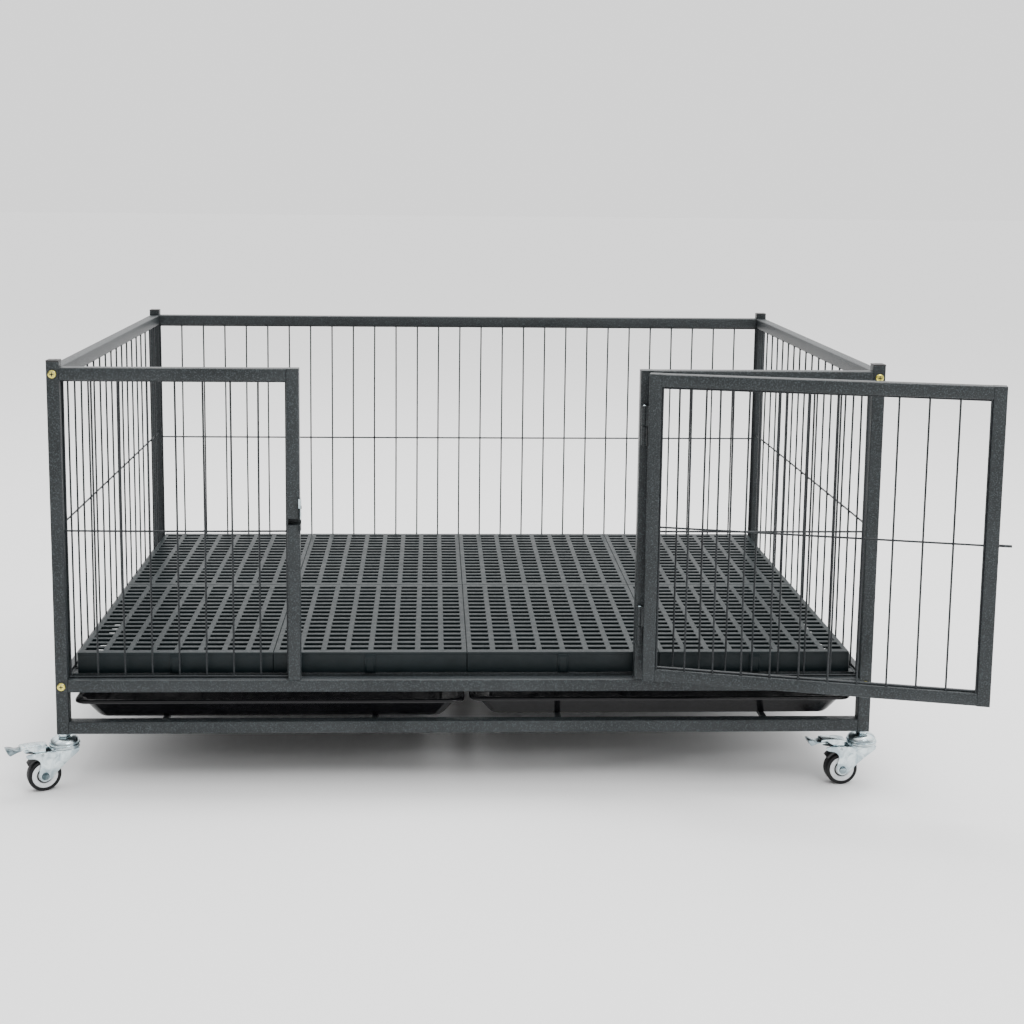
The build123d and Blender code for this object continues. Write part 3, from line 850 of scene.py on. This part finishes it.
def build_floor():
    for node, spin in (("floor_panels_front", 0.0), ("floor_panels_back", math.pi)):
        low, high = limits(node)
        middle = low.y + 381.0 / 2.0 + 2.0 if spin == 0.0 else high.y - 381.0 / 2.0 - 2.0
        for column in range(4):
            x = crate_width / 2.0 + (column - 1.5) * 298.0
            bm = bmesh.new()
            add_panel(bm, x, middle, low.z, spin)
            body = "floor_front" if spin == 0.0 else "floor_back"
            nodes = (node,) if column == 0 else ()
            finish_piece(bm, f"{node}_{column + 1}", body, "floor_plastic", nodes)


# ---- trays ----
def rounded_loop(width, depth, radius, z, steps=6):
    points = []
    for turn, (sx, sy) in enumerate(((1, 1), (-1, 1), (-1, -1), (1, -1))):
        for step in range(steps + 1):
            angle = math.pi / 2.0 * (turn + step / steps)
            x = sx * (width / 2.0 - radius) + radius * math.cos(angle)
            y = sy * (depth / 2.0 - radius) + radius * math.sin(angle)
            points.append((x, y, z))
    return points


def build_tray(node, body):
    low, high = limits(node)
    centre = (low + high) / 2.0
    width = high.x - low.x
    depth = high.y - low.y
    top = high.z
    bottom = low.z
    flange = 9.0
    side_lean = 23.0
    end_lean = 11.0
    # inset across the flange, share of the wall's lean, height
    profile = [
        (2.0, 0.0, top - 4.3), (0.5, 0.0, top - 4.5), (0.0, 0.0, top - 4.0), (0.0, 0.0, top - 2.0),
        (0.6, 0.0, top - 0.7), (2.0, 0.0, top), (flange - 1.0, 0.0, top), (flange + 1.0, 0.0, top - 0.8),
        (flange + 2.2, 0.03, top - 3.0), (flange + 2.2, 0.84, bottom + 7.0),
        (flange + 2.6, 0.94, bottom + 3.6),
        (flange + 4.5, 1.12, bottom + 2.0), (flange + 4.0, 1.12, bottom), (flange + 1.0, 0.96, bottom + 0.8),
        (flange + 0.3, 0.84, bottom + 4.6), (flange + 0.2, 0.04, top - 3.6), (flange - 1.0, 0.0, top - 2.2),
        (3.0, 0.0, top - 2.2), (2.1, 0.0, top - 3.2),
    ]
    bm = bmesh.new()
    loops = []
    for inset, lean, z in profile:
        x_inset = inset + lean * side_lean
        y_inset = inset + lean * end_lean
        radius = 20.0 - 2.0 * min(1.0, lean * 4.0)
        loop = rounded_loop(width - 2.0 * x_inset, depth - 2.0 * y_inset, radius, z)
        loops.append([bm.verts.new(p) for p in loop])
    inside = 11
    for index, loop in enumerate(loops):
        following = loops[(index + 1) % len(loops)]
        if index == inside:
            bm.faces.new(loop)
            bm.faces.new(following)
            continue
        for i in range(len(loop)):
            j = (i + 1) % len(loop)
            bm.faces.new((loop[i], loop[j], following[j], following[i]))
    bmesh.ops.translate(bm, verts=bm.verts, vec=(centre.x, centre.y, 0.0))
    finish_piece(bm, node + "_shell", body, "tray_plastic", (node,), sharp=40.0)


# ---- casters ----
wheel_radius = 25.0
trail = 32.0


def caster_place(where):
    x, y = corners[where]
    roll = Vector(joints[where + "_wheel_roll"]["axis"])
    angle = math.atan2(-roll.x, roll.y)
    return Matrix.Translation((x, y, 0.0)) @ Matrix.Rotation(angle, 4, "Z")


def across(y, x=-trail, z=wheel_radius):
    """Places a shape turned about Z so that its axis runs along -Y through a point."""
    return Matrix.Translation((x, y, z)) @ Matrix.Rotation(math.pi / 2.0, 4, "X")


def build_fork(where, place, braked):
    bm = bmesh.new()
    housing = [
        (4.2, 79.4), (9.5, 79.4), (12.0, 79.2), (16.0, 78.2), (19.4, 76.0), (21.4, 73.2), (21.9, 71.2),
        (21.6, 70.4), (21.6, 69.8), (22.9, 69.2), (23.5, 67.9), (23.0, 66.6), (21.9, 66.0), (21.9, 65.4),
        (22.4, 64.6), (22.4, 63.0), (21.0, 62.2), (4.2, 62.2),
    ]
    add_lathe(bm, housing, 40)
    horn = -57.0 if braked else -40.0
    outline = [
        (horn, 62.3), (horn / 2.0, 62.4), (0.0, 62.4), (18.5, 62.2), (19.4, 59.6), (17.6, 55.8), (6.0, 47.0),
        (-8.0, 35.2), (-22.4, 20.9), (-26.4, 18.2), (-32.0, 16.4),
        (-37.6, 18.4), (-40.4, 22.7), (-41.0, 29.0),
        (-40.0, 37.0), (-38.4, 44.0), (-40.5, 50.0), (-46.0 if braked else -39.6, 54.0), (horn, 56.6),
    ]
    curve = smooth_outline(outline, 4)
    upright = Matrix.Rotation(math.pi / 2.0, 4, "X")
    for side in (-1.0, 1.0):
        y = side * 10.8 + (2.0 if side > 0 else 0.0)
        add_plate(bm, curve, 2.0, Matrix.Translation((0.0, y, 0.0)) @ upright, 0.45)
    add_box(bm, (-22.0, -12.8, 60.6), (17.0, 12.8, 62.6), 0.7, 2)
    nodes = (where + "_caster_fork",)
    finish_piece(bm, where + "_fork_plates", where + "_swivel", "zinc_plate", nodes, place)
    bm = bmesh.new()
    head = [(0.01, 3.0), (3.6, 3.0), (5.2, 2.4), (5.8, 1.4), (5.8, 0.0), (0.01, 0.0)]
    add_lathe(bm, head, 24, across(-12.8))
    add_rod(bm, (-trail, -12.8, wheel_radius), (-trail, 12.8, wheel_radius), 2.95, 20)
    turn = Matrix.Rotation(math.pi / 6.0, 4, "Z")
    nut = [(5.8 * math.cos(k * math.pi / 3.0), 5.8 * math.sin(k * math.pi / 3.0)) for k in range(6)]
    add_plate(bm, nut, 4.0, Matrix.Translation((-trail, 16.8, wheel_radius)) @ upright @ turn, 0.5)
    nodes = (where + "_caster_axle",)
    name = where + "_axle_bolt"
    # The axle bolt takes the darker zinc copy, a painted shade and dark reflection.
    finish_piece(bm, name, where + "_swivel", "zinc_plate", nodes, place, finish="zinc_with_painted_shade")


def build_wheel(where, place):
    bm = bmesh.new()
    profile = [
        (3.06, -10.2), (6.9, -10.2), (8.7, -9.8), (9.3, -8.6), (9.7, -6.4), (11.9, -6.4),
        (12.3, -8.6), (13.2, -9.3), (17.8, -9.2), (19.0, -8.6), (19.0, 8.6), (17.8, 9.2),
        (13.2, 9.3), (12.3, 8.6), (11.9, 6.4), (9.7, 6.4),
        (9.3, 8.6), (8.7, 9.8), (6.9, 10.2), (3.06, 10.2),
    ]
    add_lathe(bm, profile, 48, across(0.0))
    finish_piece(bm, where + "_wheel_hub", where + "_wheel", "hub_plastic", (where + "_caster_hub",), place)
    bm = bmesh.new()
    tread = [(19.1, -8.3), (20.2, -8.8), (22.4, -8.9), (23.6, -8.6), (24.5, -7.6), (24.9, -6.0)]
    for y in (-4.0, 0.0, 4.0):
        tread += [(25.0, y - 0.6), (24.4, y - 0.35), (24.4, y + 0.35), (25.0, y + 0.6)]
    tread += [(24.9, 6.0), (24.5, 7.6), (23.6, 8.6), (22.4, 8.9), (20.2, 8.8), (19.1, 8.3)]
    add_lathe(bm, tread, 56, across(0.0))
    finish_piece(bm, where + "_wheel_tyre", where + "_wheel", "tyre_rubber", (where + "_caster_tyre",), place)
    bm = bmesh.new()
    ring = [(9.6, -7.6), (12.1, -7.6), (12.1, -6.2), (9.6, -6.2)]
    for side in (1.0, -1.0):
        add_lathe(bm, [(radius, side * depth) for radius, depth in ring], 40, across(0.0))
    finish_piece(bm, where + "_bearing_seals", where + "_wheel", "black_plastic", (), place)


def build_brake(where, place):
    bm = bmesh.new()
    top = 73.0
    outline = [
        (-66.0, top - 0.2), (-58.0, top + 0.9), (-48.0, top + 0.8), (-38.0, top + 0.2), (-28.0, top - 1.6),
        (-27.4, top - 3.4), (-30.0, top - 4.2), (-46.0, top - 3.0), (-58.0, top - 2.2), (-66.0, top - 3.2),
    ]
    upright = Matrix.Rotation(math.pi / 2.0, 4, "X")
    add_plate(bm, smooth_outline(outline, 3), 19.0, Matrix.Translation((0.0, 9.5, 0.0)) @ upright, 0.5)
    for y in (-9.6, 8.0):
        cheek = [
            (-58.0, top - 2.0), (-30.0, top - 2.6), (-30.5, top - 15.0), (-38.0, top - 16.2),
            (-50.0, top - 7.5),
        ]
        add_plate(bm, cheek, 1.6, Matrix.Translation((0.0, y + 1.6, 0.0)) @ upright, 0.3)
    for side in (-1.0, 1.0):
        dome = [(0.01, 1.5), (1.6, 1.3), (2.3, 0.7), (2.5, 0.0), (0.01, 0.0)]
        turn = Matrix.Rotation(math.pi / 2.0 * -side * -1.0, 4, "X")
        add_lathe(bm, dome, 20, Matrix.Translation((-35.0, side * 12.8, 59.0)) @ turn)
    nodes = (where + "_caster_pedal",)
    finish_piece(bm, where + "_brake_lever", where + "_brake", "zinc_plate", nodes, place)
    bm = bmesh.new()
    tab = [
        (-87.6, top - 0.6), (-84.0, top + 0.2), (-78.0, top - 1.4), (-72.0, top - 3.4), (-65.0, top - 2.4),
        (-65.0, top - 4.0), (-72.0, top - 6.0), (-79.0, top - 8.6), (-83.0, top - 8.8),
    ]
    add_plate(bm, smooth_outline(tab, 3), 18.0, Matrix.Translation((0.0, 9.0, 0.0)) @ upright, 0.5)
    # The brake tip takes the darker zinc copy, a painted shade and dark reflection.
    finish_piece(bm, where + "_brake_tip", where + "_brake", "zinc_plate", (), place, finish="zinc_with_painted_shade")
    bm = bmesh.new()
    inner = wheel_radius + 2.6
    outer = wheel_radius + 6.4
    arc = []
    for radius, order in ((inner, 1), (outer, -1)):
        angles = [math.radians(96.0 + (142.0 - 96.0) * k / 9.0) for k in range(10)][::order]
        arc += [(-trail + radius * math.cos(a), wheel_radius + radius * math.sin(a)) for a in angles]
    add_plate(bm, arc, 16.0, Matrix.Translation((0.0, 8.0, 0.0)) @ upright, 0.4)
    nodes = (where + "_caster_shoe",)
    finish_piece(bm, where + "_brake_pad", where + "_brake", "black_plastic", nodes, place)


def build_stems():
    bm = bmesh.new()
    for x, y in corners.values():
        spot = Matrix.Translation((x, y, 0.0))
        nut = [(9.5 * math.cos(k * math.pi / 3.0), 9.5 * math.sin(k * math.pi / 3.0)) for k in range(6)]
        add_plate(bm, nut, 5.0, Matrix.Translation((x, y, 80.0)), 0.8)
        add_lathe(bm, [(0.01, 81.0), (5.0, 81.0), (5.0, 106.0), (0.01, 106.0)], 20, spot)
        rivet = [(0.01, 55.2), (4.0, 55.4), (6.2, 56.6), (7.0, 58.6), (4.0, 59.0), (4.0, 81.0), (0.01, 81.0)]
        add_lathe(bm, rivet, 24, spot)
    finish_piece(bm, "caster_stem_nuts", "crate_frame", "zinc_plate", ("caster_stems",))


def build_casters():
    for where in corners:
        place = caster_place(where)
        braked = where.startswith("front")
        build_fork(where, place, braked)
        build_wheel(where, place)
        if braked:
            build_brake(where, place)
    build_stems()


def build_painted_screw_shade():
    """A black cross on the head of each corner screw: painted shade where the cross recess would be."""
    low, high = limits("corner_bolts")
    inset = 6.2
    bm = bmesh.new()
    for z in (low.z + inset, high.z - inset):
        for x in (half, crate_width - half):
            for face, inward in ((low.y, 1.0), (high.y, -1.0)):
                y0, y1 = sorted((face - 0.05 * inward, face + 0.6 * inward))
                add_box(bm, (x - 3.1, y0, z - 0.75), (x + 3.1, y1, z + 0.75))
                add_box(bm, (x - 0.75, y0, z - 3.1), (x + 0.75, y1, z + 3.1))
    finish_piece(bm, "corner_screw_painted_shade", "crate_frame", "brass_screws", finish="black_plastic")


def coat_frame_node(node, slot):
    shown = frame["nodes"][node]
    shown.data.materials.clear()
    shown.data.materials.append(materials[slot])


build_frame_tubes()
build_latch_post()
build_caps()
build_meshes()
build_door()
build_hinges()
build_weld_seams()
build_floor()
build_tray("tray_left", "left_tray")
build_tray("tray_right", "right_tray")
build_casters()
build_painted_screw_shade()
coat_frame_node("corner_bolts", "brass_screws")
coat_frame_node("rail_nuts", "zinc_plate")
coat_frame_node("stem_sockets", "black_plastic")
coat_frame_node("latch_keeper", "frame_coat")
coat_frame_node("latch_catch", "zinc_plate")


# ---- stage, light and camera ----
def build_stage():
    bm = bmesh.new()
    bmesh.ops.create_grid(bm, x_segments=1, y_segments=1, size=30.0)
    mesh = bpy.data.meshes.new("stage_floor")
    bm.to_mesh(mesh)
    bm.free()
    floor = bpy.data.objects.new("stage_floor", mesh)
    bpy.context.scene.collection.objects.link(floor)
    pale = bpy.data.materials.new("stage_pale")
    pale.use_nodes = True
    shader = pale.node_tree.nodes["Principled BSDF"]
    shader.inputs["Base Color"].default_value = (0.86, 0.86, 0.86, 1.0)
    shader.inputs["Roughness"].default_value = 0.9
    shader.inputs["Specular IOR Level"].default_value = 0.1
    mesh.materials.append(pale)


def add_area(name, place, target, size, power):
    light = bpy.data.lights.new(name, "AREA")
    light.shape = "RECTANGLE"
    light.size = size[0]
    light.size_y = size[1]
    light.energy = power
    lamp = bpy.data.objects.new(name, light)
    bpy.context.scene.collection.objects.link(lamp)
    lamp.location = place
    lamp.rotation_euler = (Vector(target) - Vector(place)).to_track_quat("-Z", "Y").to_euler()
    return lamp


def build_light():
    world = bpy.data.worlds.new("studio")
    bpy.context.scene.world = world
    world.use_nodes = True
    tree = world.node_tree
    background = tree.nodes["Background"]
    background.inputs["Color"].default_value = (1.0, 1.0, 1.0, 1.0)
    coordinates = tree.nodes.new("ShaderNodeTexCoord")
    split = tree.nodes.new("ShaderNodeSeparateXYZ")
    tree.links.new(coordinates.outputs["Generated"], split.inputs[0])
    back = remap(tree, split.outputs["Y"], -0.9, 0.4, 0.55, 1.45)
    left = remap(tree, split.outputs["X"], -0.85, -0.42, 0.12, 1.0)
    above = remap(tree, split.outputs["Z"], 0.15, 0.9, 0.0, 1.1)
    brightness = calculate(tree, "ADD", calculate(tree, "MULTIPLY", back, left), above)
    tree.links.new(brightness, background.inputs["Strength"])
    add_area("key_light", (1.3, -2.2, 2.6), (0.0, 0.0, 0.3), (1.4, 1.2), 45.0)
    add_area("top_light", (0.4, 0.9, 3.6), (0.0, 0.0, 0.3), (3.0, 2.0), 120.0)


def build_camera():
    pitch = 0.1359
    roll = 0.0097
    yaw = 0.0361
    focal = 1490.09
    view_width = 1024.0
    axis_x, axis_y = 485.05, 376.55
    sensor = 36.0
    camera_data = bpy.data.cameras.new("view")
    camera = bpy.data.objects.new("view", camera_data)
    bpy.context.scene.collection.objects.link(camera)
    place = Vector((0.4546, -1.7561, 0.6829)) * crate_width + Vector((0.0, 0.0, base))
    camera.location = origin + place * MM
    aim = Matrix.Rotation(-yaw, 4, "Z")
    tilt = Matrix.Rotation(math.pi / 2.0 - pitch, 4, "X")
    level = Matrix.Rotation(roll, 4, "Z")
    camera.rotation_euler = (aim @ tilt @ level).to_euler()
    camera_data.sensor_width = sensor
    camera_data.lens = focal / view_width * sensor
    camera_data.shift_x = (view_width / 2.0 - axis_x) / view_width
    camera_data.shift_y = (axis_y - view_width / 2.0) / view_width
    camera_data.clip_end = 100.0
    bpy.context.scene.camera = camera


build_stage()
build_light()
build_camera()
